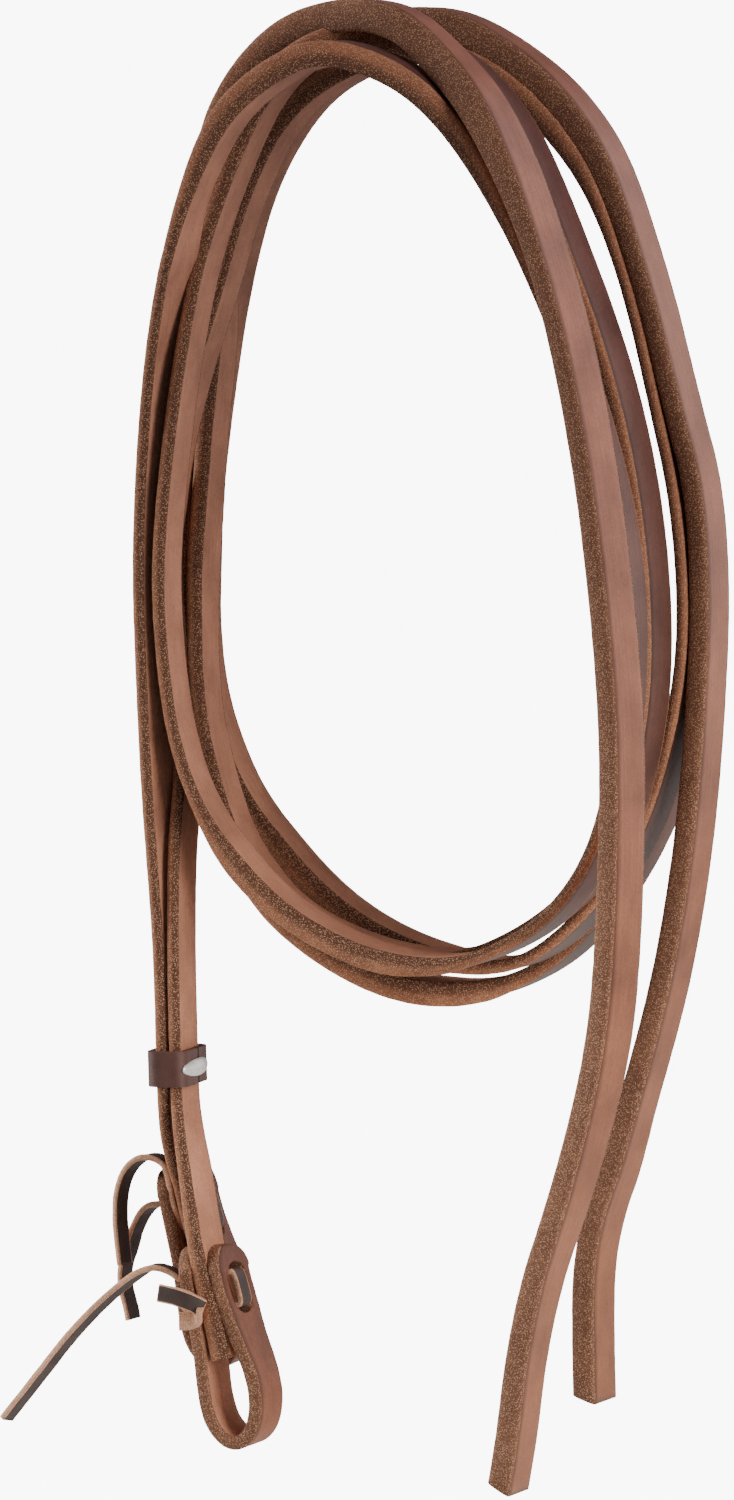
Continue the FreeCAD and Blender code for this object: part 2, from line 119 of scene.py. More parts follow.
LOOP_ROUTE = [
    (-0.0445, -0.3305), (-0.0435, -0.338), (-0.0425, -0.345), (-0.041, -0.3515),
    (-0.0395, -0.3585), (-0.0385, -0.3665), (-0.0375, -0.373), (-0.0355, -0.3785),
    (-0.0315, -0.3825), (-0.0275, -0.383), (-0.024, -0.3795), (-0.0225, -0.3735),
    (-0.023, -0.3675), (-0.025, -0.3615), (-0.028, -0.356), (-0.031, -0.3495),
    (-0.034, -0.3415), (-0.0355, -0.335), (-0.0365, -0.3295),
]
BIGHT = [(0.005, 0.005), (0.0069, 0.0046), (0.0071, 0.0), (0.0069, -0.0046), (0.005, -0.005)]
NEAR_STUB = [(-0.053, -0.3435), (-0.0475, -0.346)]
NEAR_TAIL = [
    (-0.0505, -0.3375), (-0.056, -0.3365), (-0.062, -0.34), (-0.0715, -0.348),
    (-0.0815, -0.3585), (-0.0905, -0.37), (-0.101, -0.383),
]
FAR_LOW_TAIL = [
    (-0.0685, -0.355), (-0.0695, -0.3505), (-0.071, -0.3455), (-0.071, -0.34),
    (-0.069, -0.3345), (-0.0675, -0.329), (-0.065, -0.324), (-0.062, -0.3215),
]
FAR_HIGH_TAIL = [
    (-0.0561, -0.3087), (-0.0595, -0.307), (-0.064, -0.3075), (-0.068, -0.3115),
    (-0.07, -0.317), (-0.0705, -0.3235), (-0.07, -0.331), (-0.069, -0.3385),
]
STUB_FRONT = [
    (-0.0498, -0.033, -0.3423), (-0.0465, -0.0335, -0.3426), (-0.0429, -0.0335, -0.3434),
    (-0.0396, -0.033, -0.3446), (-0.0378, -0.031, -0.3462),
]
STUB_BACK = [
    (-0.0376, -0.0318, -0.3458), (-0.0386, -0.0308, -0.3486), (-0.0415, -0.0305, -0.3503),
    (-0.0445, -0.0308, -0.3504),
]
RISING = [
    (-0.002, -0.0041, -0.0008), (-0.00245, 0.0, -0.0036), (-0.0023, 0.0032, -0.0052),
    (-0.00205, 0.008, -0.0052), (-0.0016, 0.0135, -0.0052),
]

# ---------------------------------------------------------------- sizes, in metres
STRAP_W = 0.016
TAIL_T = 0.0069             # a rein's thick leather at its tail, with its raised fibres
BIT_T = 0.0034              # and at its bit end
LOOP_T = 0.0039             # the water straps' leather, plump where it folds
LACE_W = 0.0052
LACE_T = 0.0017
SLOT_LEN = 0.015
SLOT_W = 0.0064
OPEN_SLOT_W = 0.0088        # the near loop's slot, stretched by its lace
TIP_R = 0.0075              # the water straps' rounded ends
TIP_END_W = 0.0006          # narrowest width left at the very tip
EDGE_CROWN = 0.0014         # how far a rein's cut edge bulges out
LOOP_CROWN = 0.0011
LACE_CROWN = 0.0005
EDGE_FULLNESS = 0.75        # 1 is an elliptical edge, lower is squarer
EDGE_RAGGED = 0.00016       # depth of the cut edge's lumps
FACE_RAGGED = 0.00008
LUMP_SIZE = 0.0035
FUZZ_SIZE = 0.0011
FUZZ_SHARE = 0.4            # the fuzz's depth in lump depths
LUMP_SEED = 3.1             # a seed picks the part of the noise that a texture shows
FUZZ_SEED = 7.7
SEED_SPREAD = 2.7
TAIL_SKEW = 0.35            # slant of a rein's cut tail end

# where the two stacks of bit end, water strap and lace are
NEAR_Y = -0.0215
FAR_Y = -0.005
STACK = (-0.038, -0.3435)
FAR_SHIFT = (-0.012, 0.0195)
FAR_STACK = (STACK[0] + FAR_SHIFT[0], STACK[1] + FAR_SHIFT[1])
FAR_TIP_SPREAD = 0.0011     # the far water strap's first tip stands off this much
SPREAD_AT_NEXT = 0.55       # share of it at the next point
STACK_LEAN = math.radians(15.6)
LACE_OUT = -0.007           # through the stack, where a lace comes out on the left
FAR_LACE_OUT = -0.0075
FAR_LACE_SIDE = 0.0003
PASS = 0.005                # a lace passes this far above and below the slot's middle
BIGHT_OUT = 0.0021          # the near lace stands out this much more
SIDE_STEP = -0.0052         # the far lace's high end comes out beside the strap
LOOP_DROP = 0.0018          # the water straps' fold hangs this much lower
DROP_ZONE = (0.352, 0.38)
CUT_REACH = 0.012           # how far the slot's cutter reaches each way

# keeper band and its staple
KEEPER_X = -0.0502
# the band's butt joint, and half the width of the painted shadow line along it
SEAM_Y = -0.0164
SLIT_SHADOW_HALF = 0.0005
STAPLE_PLACE = (-0.0437, -0.0175, -0.2797)
STAPLE_SIZE = (0.0026, 0.0185, 0.005)
STAPLE_BEND = 14.0          # how fast its ends curve back, per metre

# how far straps lean: run to the right for each metre of width, so that a face shows
FAR_TAIL_LEAN = 0.28
NEAR_TAIL_LEAN = 0.13
COIL_LEAN = 0.13
BIT_LEAN = 0.09
LEFT_LEAN = 0.16
LOOP_LEAN = 0.08
SLOT_LEAN = 0.17            # added at the loop's slotted end
LACE_LEAN = 0.45
LOW_SHARE = 0.35            # share of the lean left at the tails' low ends

# a change from one value to another happens between the two limits of its zone:
# RUN zones are distances from the strap's first end, X zones go right, Z zones up, DEPTH zones down
TAIL_RUN = (0.36, 0.5)
BIT_RUN = (1.68, 1.76)
SLOTTED_RUN = (0.08, 0.105)
PAINTED_SHADE_RUN = (0.42, 0.52)     # where a tail ends and painted shade and sheen on the coil's inner turns set in
RIGHT_X = (0.015, 0.06)
LOW_END_Z = (-0.37, -0.25)
BIT_END_DEPTH = (0.288, 0.315)
LEFT_START_DEPTH = (0.03, 0.055)
LEFT_STOP_DEPTH = (0.235, 0.26)
LACE_FREE_X = (-0.062, -0.053)
LACE_SLOT_X = (-0.036, -0.033)
EDGE_HEIGHTS = (-0.26, -0.1)     # painted light and shade: cut edges are pale below and dark above

# the reins' leather bulges where it hangs over the top and where it lies at the bottom
TOP_SWELL = 0.0038
BOTTOM_SWELL = 0.003
SWELL_OUT = 1 / 6           # share of the top's swell by which the strap's middle moves out
TOP_Z = (-0.055, 0.0)
BOTTOM_DEPTH = (0.19, 0.225)
BOTTOM_LEFT_X = (-0.048, -0.03)
BOTTOM_RIGHT_X = (0.012, 0.042)

ACROSS = (0.0, 1.0, 0.0)
STUB_ACROSS = (0.3, 0.1, 1.0)
SIDEWAYS = (1.0, 0.0, 0.0)

# steps of a smooth line between two points of its route
REIN_STEPS = 12
LOOP_STEPS = 24
LACE_STEPS = 14
STUB_STEPS = 10

# ---------------------------------------------------------------- looks
NONE = (0.0, 0.0, 0.0)
PART = (0.4, 0.4, 0.4)
WHOLE = (1.0, 1.0, 1.0)
GRAIN, FLESH, EDGE = 0, 1, 2     # a strap's material slots
PAINTED_RIM_W = 0.0022                   # painted shade: darker rim along a face's near side, by the bevelled corner
PAINTED_RIM_SHADE = (0.35, 0.3, 0.28)
PAINTED_EDGE_LIGHT = [                    # painted shade and highlight across a cut edge, from its flesh side to its grain side
    (0.0, (0.5, 0.47, 0.46)), (0.4, (0.75, 0.73, 0.72)),
    (0.62, (1.7, 1.6, 1.5)), (1.0, (1.9, 1.75, 1.6)),
]
# painted shadow in the keeper band's slit
SLIT_SHADOW = (0.015, 0.008, 0.006)
STREAKS_ACROSS = 900.0           # fine streaks in a metre across the strap

# ---------------------------------------------------------------- studio
CAMERA_PLACE = (0.73761, -2.08128, 0.01079)
CAMERA_ROUND = 19.5         # degrees round from straight in front
CAMERA_DOWN = 5.2           # degrees below level
SENSOR_H = 24.0
LENS_PER_HEIGHT = 5.2507
CLIP_END = 34.0             # beyond the floor's far corners
COIL_MIDDLE = (0.0, 0.0, -0.18)
AMBIENT = 0.1
WHITE = 9.0                 # strength of the white that the camera sees
LIGHTS = [                  # name, place, size, power in watts, colour
    ("left", (-2.0, -0.2, 0.6), (0.9, 1.4), 74.0, (1.0, 0.97, 0.93)),
    ("right", (1.8, -0.72, 0.4), (1.0, 1.6), 42.0, (1.0, 0.96, 0.92)),
    ("sheen", (1.35, 1.6, 0.3), (1.8, 1.8), 12.0, (1.0, 1.0, 1.0)),
    ("top", (0.1, -0.5, 1.9), (1.0, 1.0), 9.0, (1.0, 1.0, 1.0)),
]
FLOOR_Z = -0.75
FLOOR_REACH = 12.0
FLOOR_GREY = (0.8, 0.8, 0.8, 1.0)
PURE_WHITE = (1.0, 1.0, 1.0, 1.0)


# ---------------------------------------------------------------- straps
def line_through(route, steps):
    """Points of the smooth line that has the route's points as its control points."""
    curve = bpy.data.curves.new("route", "CURVE")
    curve.dimensions = "3D"
    curve.resolution_u = steps
    spline = curve.splines.new("NURBS")
    spline.points.add(len(route) - 1)
    for point, place in zip(spline.points, route):
        point.co = (*place, 1.0)
    spline.order_u = 3
    spline.use_endpoint_u = True
    holder = bpy.data.objects.new("route", curve)
    bpy.context.scene.collection.objects.link(holder)
    mesh = bpy.data.meshes.new_from_object(holder)
    points = [vertex.co.copy() for vertex in mesh.vertices]
    bpy.data.objects.remove(holder)
    bpy.data.curves.remove(curve)
    bpy.data.meshes.remove(mesh)
    return points


def distances(points):
    total = [0.0]
    for a, b in zip(points, points[1:]):
        total.append(total[-1] + (b - a).length)
    return total


def section(width, thick, crown, face_steps=7, edge_steps=9):
    """Outline of a strap cut across: (across the width, through it, which surface)."""
    half_w = width / 2
    half_t = thick / 2
    flat = half_w - crown
    outline = []
    for i in range(face_steps):
        outline.append((-flat + 2 * flat * i / face_steps, half_t, GRAIN))
    for side, start in ((1, 1), (-1, -1)):
        for i in range(edge_steps):
            angle = math.pi / 2 - math.pi * i / edge_steps
            rise = math.copysign(abs(math.sin(angle)) ** EDGE_FULLNESS, math.sin(angle))
            out = max(0.0, math.cos(angle)) ** EDGE_FULLNESS
            outline.append((side * (flat + crown * out), start * half_t * rise, EDGE))
        if side == 1:
            for i in range(face_steps):
                outline.append((flat - 2 * flat * i / face_steps, -half_t, FLESH))
    return outline


def rough(place, size, seed):
    """Smooth random height whose lumps are about size across."""
    return noise.noise(place / size + Vector((seed, SEED_SPREAD * seed, -seed)))


def ease(value, zone):
    """0 below the zone's first limit, 1 above its second, and smooth between."""
    low, high = zone
    share = min(1.0, max(0.0, (value - low) / (high - low)))
    return share * share * (3.0 - 2.0 * share)


def right_lean(place, distance, tail):
    """The straps on the right of the coil turn their grain side to the front, the tails most."""
    most = tail + (COIL_LEAN - tail) * ease(distance, TAIL_RUN)
    low = LOW_SHARE + (1.0 - LOW_SHARE) * ease(place.z, LOW_END_Z)
    return most * ease(place.x, RIGHT_X) * low


def near_rein_lean(place, distance):
    return right_lean(place, distance, NEAR_TAIL_LEAN) + BIT_LEAN * ease(-place.z, BIT_END_DEPTH)


def far_rein_lean(place, distance):
    """As the near rein's tail, and its bit run leans over the gap between the two bit runs."""
    window = ease(-place.z, LEFT_START_DEPTH) * (1.0 - ease(-place.z, LEFT_STOP_DEPTH))
    bit_run = LEFT_LEAN * window * ease(distance, BIT_RUN)
    return right_lean(place, distance, FAR_TAIL_LEAN) + bit_run


def hanging_swell(place):
    """How much thicker a rein looks where it hangs over the top, and where it lies at the bottom."""
    top = TOP_SWELL * ease(place.z, TOP_Z)
    middle = ease(place.x, BOTTOM_LEFT_X) * (1.0 - ease(place.x, BOTTOM_RIGHT_X))
    return Vector((top, BOTTOM_SWELL * middle * ease(-place.z, BOTTOM_DEPTH)))


def no_swell(place):
    return Vector((0.0, 0.0))


def run_at(points, i):
    """Direction of the strap's run at one of its points."""
    run = points[min(len(points) - 1, i + 1)] - points[max(0, i - 1)]
    run.normalize()
    return run


def ragged_place(place, kind, across, side, b, a):
    """A point of the outline moved in or out a little, as rough leather is."""
    depth = EDGE_RAGGED if kind == EDGE else FACE_RAGGED
    out = (across * math.copysign(1.0, b)) if kind == EDGE else side * math.copysign(1.0, a)
    lumps = depth * rough(place, LUMP_SIZE, LUMP_SEED)
    return place + out * (lumps + FUZZ_SHARE * depth * rough(place, FUZZ_SIZE, FUZZ_SEED))


def girth_of(outline):
    """Distance round the outline to each of its points, and back to the first."""
    girth = [0.0]
    for one, two in zip(outline, outline[1:] + outline[:1]):
        girth.append(girth[-1] + math.hypot(two[0] - one[0], two[1] - one[1]))
    return girth


def skin(mesh, rings, outline, far):
    """Faces between the rings, with a material and two flat coordinates for each.

    "strap" is the distance along and round, and "through" is 0 on the flesh side to 1 on the grain side.
    """
    lengthwise = mesh.loops.layers.uv.new("strap")
    crosswise = mesh.loops.layers.uv.new("through")
    count = len(outline)
    girth = girth_of(outline)
    half_t = outline[0][1]
    for i in range(len(rings) - 1):
        for j in range(count):
            k = (j + 1) % count
            face = mesh.faces.new((rings[i][j], rings[i][k], rings[i + 1][k], rings[i + 1][j]))
            face.material_index = outline[j][2]
            face.smooth = True
            spots = ((i, j), (i, j + 1), (i + 1, j + 1), (i + 1, j))
            for loop, (row, column) in zip(face.loops, spots):
                loop[lengthwise].uv = (far[row], girth[column])
                loop[crosswise].uv = (0.5 + 0.5 * outline[column % count][1] / half_t, 0.0)
    for ring in (reversed(rings[0]), rings[-1]):
        cap = mesh.faces.new(list(ring))
        cap.material_index = EDGE


def mesh_object(name, mesh):
    data = bpy.data.meshes.new(name)
    mesh.to_mesh(data)
    mesh.free()
    piece = bpy.data.objects.new(name, data)
    bpy.context.scene.collection.objects.link(piece)
    return piece


def strap_object(name, points, width_at, thick_at, crown, lean_at=None, hinged=False, skew=0.0,
                 wide=ACROSS, swell_at=no_swell):
    """Flat strap along points, its width along the wide direction, its grain side on the left of its run.

    lean_at gives how far its far edge leans to the right for each metre of width, from the place
    and the distance along. A hinged strap keeps its near edge where it was.
    """
    far = distances(points)
    total = far[-1]
    mesh = bmesh.new()
    rings = []
    outlines = []
    for i, here in enumerate(points):
        run = run_at(points, i)
        across = Vector(wide)
        if lean_at:
            sideways = Vector(SIDEWAYS)
            sideways -= run * sideways.dot(run)
            shift = sideways * lean_at(here, far[i])
            if hinged:
                here = here + shift * width_at(far[i], total) / 2
            across = across + shift
        across = (across - run * across.dot(run)).normalized()
        side = across.cross(run).normalized()
        swell = swell_at(here)
        here = here + side * (swell.x * SWELL_OUT)
        outline = section(width_at(far[i], total), thick_at(far[i] / total) + swell.x + swell.y, crown)
        slant = skew * max(0.0, 1.0 - far[i] / (2 * STRAP_W))
        ring = []
        for b, a, kind in outline:
            place = here + across * b + side * a - run * (a * slant)
            ring.append(mesh.verts.new(ragged_place(place, kind, across, side, b, a)))
        rings.append(ring)
        outlines.append(outline)
    skin(mesh, rings, outlines[len(outlines) // 2], far)
    bmesh.ops.recalc_face_normals(mesh, faces=mesh.faces)
    return mesh_object(name, mesh)


def even_width(width):
    return lambda distance, total: width


def round_ended(distance, total):
    """Water strap's width near its two rounded tips."""
    from_tip = min(distance, total - distance)
    if from_tip >= TIP_R:
        return STRAP_W
    inside = TIP_R - from_tip
    return STRAP_W - 2 * TIP_R + 2 * math.sqrt(max(0.0, TIP_R ** 2 - inside ** 2)) + TIP_END_W


def stack_point(middle, through, up):
    """x and z of a point through a stack and up along it from its middle."""
    x = middle[0] + through * math.cos(STACK_LEAN) - up * math.sin(STACK_LEAN)
    z = middle[1] + through * math.sin(STACK_LEAN) + up * math.cos(STACK_LEAN)
    return (x, z)


def slot_outline(width, turns=12):
    """Round-ended slot: (up along it, across it)."""
    ring = []
    for end in (1, -1):
        for i in range(turns + 1):
            angle = math.pi * i / turns
            up = end * (SLOT_LEN / 2 - width / 2 + width / 2 * math.sin(angle))
            ring.append((up, end * width / 2 * math.cos(angle)))
    return ring


def slot_bar(middle, y, width):
    """Solid bar with the slot's outline, right through the stack."""
    bar = bmesh.new()
    ring = slot_outline(width)
    for reach in (-CUT_REACH, CUT_REACH):
        for up, across in ring:
            x, z = stack_point(middle, reach, up)
            bar.verts.new((x, y + across, z))
    bar.verts.ensure_lookup_table()
    n = len(ring)
    for i in range(n):
        j = (i + 1) % n
        bar.faces.new([bar.verts[k] for k in (i, j, n + j, n + i)])
    bar.faces.new([bar.verts[i] for i in reversed(range(n))])
    bar.faces.new([bar.verts[n + i] for i in range(n)])
    bmesh.ops.recalc_face_normals(bar, faces=bar.faces)
    for face in bar.faces:
        face.material_index = EDGE
    return mesh_object("slot_bar", bar)


def cut_slot(piece, middle, y, width=SLOT_W):
    """Cut the lace slot through a strap."""
    cutter = slot_bar(middle, y, width)
    for material in piece.data.materials:
        cutter.data.materials.append(material)
    step = piece.modifiers.new("slot", "BOOLEAN")
    step.operation = "DIFFERENCE"
    step.solver = "EXACT"
    step.object = cutter
    depsgraph = bpy.context.evaluated_depsgraph_get()
    result = bpy.data.meshes.new_from_object(piece.evaluated_get(depsgraph))
    old = piece.data
    piece.modifiers.clear()
    piece.data = result
    bpy.data.meshes.remove(old)
    bpy.data.objects.remove(cutter)


# ---------------------------------------------------------------- materials
def node_material(name):
    material = bpy.data.materials.new(name)
    material.use_nodes = True
    nodes = material.node_tree.nodes
    return material, nodes, material.node_tree.links, nodes["Principled BSDF"]


def add_noise(nodes, links, vector, scale, detail=4.0, rough_share=0.55):
    """Cloudy noise with about that many clouds a metre."""
    texture = nodes.new("ShaderNodeTexNoise")
    texture.inputs["Scale"].default_value = scale
    texture.inputs["Detail"].default_value = detail
    texture.inputs["Roughness"].default_value = rough_share
    links.new(vector, texture.inputs["Vector"])
    return texture.outputs["Fac"]


def ramp(nodes, links, value, stops):
    """Colour that follows a value from 0 to 1 through (position, colour) stops."""
    node = nodes.new("ShaderNodeValToRGB")
    node.color_ramp.elements[0].position = stops[0][0]
    node.color_ramp.elements[0].color = (*stops[0][1], 1)
    node.color_ramp.elements[1].position = stops[-1][0]
    node.color_ramp.elements[1].color = (*stops[-1][1], 1)
    for position, colour in stops[1:-1]:
        node.color_ramp.elements.new(position).color = (*colour, 1)
    links.new(value, node.inputs["Fac"])
    return node.outputs["Color"]


def mix(nodes, links, share, one, two, kind="MIX"):
    """Mix two colours, each a socket or a tuple; share is a socket or a number."""
    node = nodes.new("ShaderNodeMix")
    node.data_type = "RGBA"
    node.blend_type = kind
    factor = [s for s in node.inputs if s.name == "Factor" and s.type == "VALUE"][0]
    colours = [s for s in node.inputs if s.type == "RGBA"]
    if isinstance(share, float):
        factor.default_value = share
    else:
        links.new(share, factor)
    for value, socket in zip((one, two), colours):
        if isinstance(value, tuple):
            socket.default_value = (*value, 1)
        else:
            links.new(value, socket)
    return [s for s in node.outputs if s.type == "RGBA"][0]


def scaled(nodes, links, vector, scale):
    node = nodes.new("ShaderNodeMapping")
    node.inputs["Scale"].default_value = scale
    links.new(vector, node.inputs["Vector"])
    return node.outputs["Vector"]


def span_share(nodes, links, vector, axis, low, high):
    """0 to 1 as one axis of a vector goes from low to high."""
    split = nodes.new("ShaderNodeSeparateXYZ")
    links.new(vector, split.inputs["Vector"])
    span = nodes.new("ShaderNodeMapRange")
    span.inputs["From Min"].default_value = low
    span.inputs["From Max"].default_value = high
    links.new(split.outputs[axis], span.inputs["Value"])
    return span.outputs["Result"]


def height_share(nodes, links, place, low, high):
    """0 at height low to 1 at height high on the object."""
    return span_share(nodes, links, place, "Z", low, high)


def strap_coordinates(nodes, name):
    """One of the two flat coordinates that every strap has."""
    node = nodes.new("ShaderNodeUVMap")
    node.uv_map = name
    return node.outputs["UV"]


def bump(nodes, links, heights, shader):
    """heights: (value, distance in metres, strength), finest last."""
    normal = None
    for value, distance, strength in heights:
        node = nodes.new("ShaderNodeBump")
        node.inputs["Distance"].default_value = distance
        node.inputs["Strength"].default_value = strength
        links.new(value, node.inputs["Height"])
        if normal is not None:
            links.new(normal, node.inputs["Normal"])
        normal = node.outputs["Normal"]
    links.new(normal, shader.inputs["Normal"])


def leather(name, low_colour, high_colour, dark, light, roughness, fibre, pore_depth,
            heights=(-0.33, 0.0), inner_shade=WHOLE):
    """Strap leather whose tone changes with height, in cloudy patches and beyond the tails. On the reins the
    change with height is painted light and shade, and the darkening beyond the tails is painted shade and
    sheen.

    dark and light are the limits of each texture's tint, and fibre is the streaks a metre lengthwise.
    """
    material, nodes, links, shader = node_material(name)
    place = nodes.new("ShaderNodeTexCoord").outputs["Object"]
    strap = strap_coordinates(nodes, "strap")
    # painted light: tone by height, a cooler darker sheen up top and warmer light low down
    tone = mix(nodes, links, height_share(nodes, links, place, *heights), low_colour, high_colour)
    beyond = span_share(nodes, links, strap, "X", *PAINTED_SHADE_RUN)
    # painted shade and sheen: the inner turns past the tails are darkened with a grey-blue cast
    tone = mix(nodes, links, 1.0, tone, mix(nodes, links, beyond, WHOLE, inner_shade), "MULTIPLY")
    clouds = add_noise(nodes, links, place, scale=55.0, detail=3.0)
    cloud_tone = ramp(nodes, links, clouds, [(0.3, dark), (0.7, light)])
    colour = mix(nodes, links, 1.0, tone, cloud_tone, "MULTIPLY")
    # painted shade along the face's near rim
    from_rim = span_share(nodes, links, strap, "Y", 0.0, PAINTED_RIM_W)
    rim_shade = ramp(nodes, links, from_rim, [(0.0, PAINTED_RIM_SHADE), (1.0, WHOLE)])
    colour = mix(nodes, links, 1.0, colour, rim_shade, "MULTIPLY")
    streak_space = scaled(nodes, links, strap, (fibre, STREAKS_ACROSS, 1.0))
    streaks = add_noise(nodes, links, streak_space, scale=1.0, detail=5.0, rough_share=0.7)
    streak_tone = ramp(nodes, links, streaks, [(0.3, dark), (0.72, light)])
    colour = tinted(nodes, links, colour, streak_tone, 0.6)
    pores = add_noise(nodes, links, place, scale=1400.0, detail=4.0, rough_share=0.7)
    pore_tone = ramp(nodes, links, pores, [(0.36, dark), (0.6, light)])
    colour = tinted(nodes, links, colour, pore_tone, 0.5)
    links.new(colour, shader.inputs["Base Color"])
    shader.inputs["Roughness"].default_value = roughness
    shader.inputs["Specular IOR Level"].default_value = 0.4
    bump(nodes, links, [(clouds, 0.0006, 0.3), (streaks, 0.0002, 0.5), (pores, pore_depth, 0.6)], shader)
    return material


def tinted(nodes, links, colour, tint, share):
    """The colour with part of its multiple by the tint."""
    return mix(nodes, links, share, colour, mix(nodes, links, 1.0, colour, tint, "MULTIPLY"))


def add_cells(nodes, links, vector, scale):
    """Distance from the nearest of many scattered points."""
    texture = nodes.new("ShaderNodeTexVoronoi")
    texture.inputs["Scale"].default_value = scale
    links.new(vector, texture.inputs["Vector"])
    return texture.outputs["Distance"]


def painted_edge_shading(nodes, links):
    """Painted shade and highlight on the coil's cut edges past the tails: dark near the flesh side and light
    near the grain side, as the side lights fall on a rounded edge.
    """
    beyond = span_share(nodes, links, strap_coordinates(nodes, "strap"), "X", *PAINTED_SHADE_RUN)
    from_flesh = span_share(nodes, links, strap_coordinates(nodes, "through"), "X", 0.0, 1.0)
    return mix(nodes, links, beyond, WHOLE, ramp(nodes, links, from_flesh, PAINTED_EDGE_LIGHT))


def cut_edge(name, base, speck, dark, low_base, low_speck):
    """Raw cut edge: soft brown fibres with fine golden specks, paler low down; the paleness low down and
    darkness up top are painted light and shade.
    """
    material, nodes, links, shader = node_material(name)
    place = nodes.new("ShaderNodeTexCoord").outputs["Object"]
    clouds = add_noise(nodes, links, place, scale=70.0, detail=3.0)
    # painted light and shade: edges paler low down and darker up top
    height = height_share(nodes, links, place, *EDGE_HEIGHTS)
    tone = mix(nodes, links, height, low_base, base)
    # painted shade and highlight across the edge, past the tails
    tone = mix(nodes, links, 1.0, tone, painted_edge_shading(nodes, links), "MULTIPLY")
    ground = mix(nodes, links, ramp(nodes, links, clouds, [(0.3, PART), (0.7, NONE)]), tone, dark)
    fine = add_noise(nodes, links, place, scale=3600.0, detail=2.0, rough_share=0.6)
    soft = ramp(nodes, links, fine, [(0.32, (0.6, 0.57, 0.55)), (0.68, (1.35, 1.3, 1.25))])
    cells = add_cells(nodes, links, place, scale=2300.0)
    specks = ramp(nodes, links, cells, [(0.14, WHOLE), (0.4, NONE)])
    speck_tone = mix(nodes, links, height, low_speck, speck)
    colour = mix(nodes, links, specks, mix(nodes, links, 1.0, ground, soft, "MULTIPLY"), speck_tone)
    links.new(colour, shader.inputs["Base Color"])
    shader.inputs["Roughness"].default_value = 0.85
    shader.inputs["Specular IOR Level"].default_value = 0.25
    bump(nodes, links, [(clouds, 0.0004, 0.3), (fine, 0.0001, 0.4)], shader)
    return material


def smooth_hide(name, colour, pale, roughness):
    """Plain dyed leather for the keeper and the laces."""
    material, nodes, links, shader = node_material(name)
    place = nodes.new("ShaderNodeTexCoord").outputs["Object"]
    clouds = add_noise(nodes, links, place, scale=130.0)
    tone = ramp(nodes, links, clouds, [(0.3, colour), (0.75, pale)])
    grain = add_noise(nodes, links, place, scale=1700.0, rough_share=0.6)
    links.new(tone, shader.inputs["Base Color"])
    shader.inputs["Roughness"].default_value = roughness
    bump(nodes, links, [(clouds, 0.0003, 0.3), (grain, 0.00012, 0.5)], shader)
    return material, nodes, links, shader


def nickel():
    """Bright nickel, a little worn."""
    material, nodes, links, shader = node_material("bright_nickel")
    place = nodes.new("ShaderNodeTexCoord").outputs["Object"]
    wear = add_noise(nodes, links, place, scale=600.0, detail=3.0)
    tone = ramp(nodes, links, wear, [(0.3, (0.72, 0.71, 0.68)), (0.7, (0.9, 0.9, 0.88))])
    links.new(tone, shader.inputs["Base Color"])
    shader.inputs["Metallic"].default_value = 0.35
    shader.inputs["Roughness"].default_value = 0.3
    bump(nodes, links, [(wear, 0.00005, 0.2)], shader)
    return material


def keeper_hide(colour, pale):
    """The band's leather, with a painted shadow line where its two ends meet."""
    material, nodes, links, shader = smooth_hide("keeper_hide", colour, pale, 0.5)
    split = nodes.new("ShaderNodeSeparateXYZ")
    links.new(nodes.new("ShaderNodeTexCoord").outputs["Object"], split.inputs["Vector"])
    shadow_line = nodes.new("ShaderNodeMath")
    shadow_line.operation = "COMPARE"
    shadow_line.inputs[1].default_value = SEAM_Y
    shadow_line.inputs[2].default_value = SLIT_SHADOW_HALF
    links.new(split.outputs["Y"], shadow_line.inputs[0])
    right = nodes.new("ShaderNodeMath")
    right.operation = "GREATER_THAN"
    right.inputs[1].default_value = KEEPER_X
    links.new(split.outputs["X"], right.inputs[0])
    both = nodes.new("ShaderNodeMath")
    both.operation = "MULTIPLY"
    links.new(shadow_line.outputs["Value"], both.inputs[0])
    links.new(right.outputs["Value"], both.inputs[1])
    # painted shadow line in the slit where the band's ends meet
    tone = shader.inputs["Base Color"].links[0].from_socket
    links.new(mix(nodes, links, both.outputs["Value"], tone, SLIT_SHADOW), shader.inputs["Base Color"])
    return material


def strap_leathers():
    """The three looks of a strap: grain side, flesh side and cut edge."""
    # on the reins the tone by height is painted light: a cooler darker sheen up top and warmer light low
    # down
    grain = leather("rein_grain", low_colour=(0.345, 0.135, 0.068), high_colour=(0.25, 0.1, 0.078),
                    dark=(0.72, 0.68, 0.65), light=(1.16, 1.12, 1.07), roughness=0.42,
                    fibre=40.0, pore_depth=0.00006, inner_shade=(0.42, 0.5, 0.66))
    flesh = leather("rein_flesh", low_colour=(0.56, 0.265, 0.17), high_colour=(0.25, 0.118, 0.083),
                    dark=(0.72, 0.68, 0.64), light=(1.14, 1.1, 1.06), roughness=0.9,
                    fibre=90.0, pore_depth=0.0002)
    edge = cut_edge("rein_edge", base=(0.125, 0.054, 0.033), speck=(0.46, 0.26, 0.145),
                    dark=(0.07, 0.03, 0.02), low_base=(0.23, 0.108, 0.064),
                    low_speck=(0.74, 0.43, 0.26))
    return grain, flesh, edge


def loop_grain():
    """The water straps' outside, darker at the slotted end."""
    return leather("loop_grain", low_colour=(0.36, 0.135, 0.07), high_colour=(0.16, 0.06, 0.04),
                   dark=(0.62, 0.58, 0.54), light=(1.12, 1.08, 1.04), roughness=0.55,
                   fibre=60.0, pore_depth=0.00008, heights=(-0.375, -0.335))


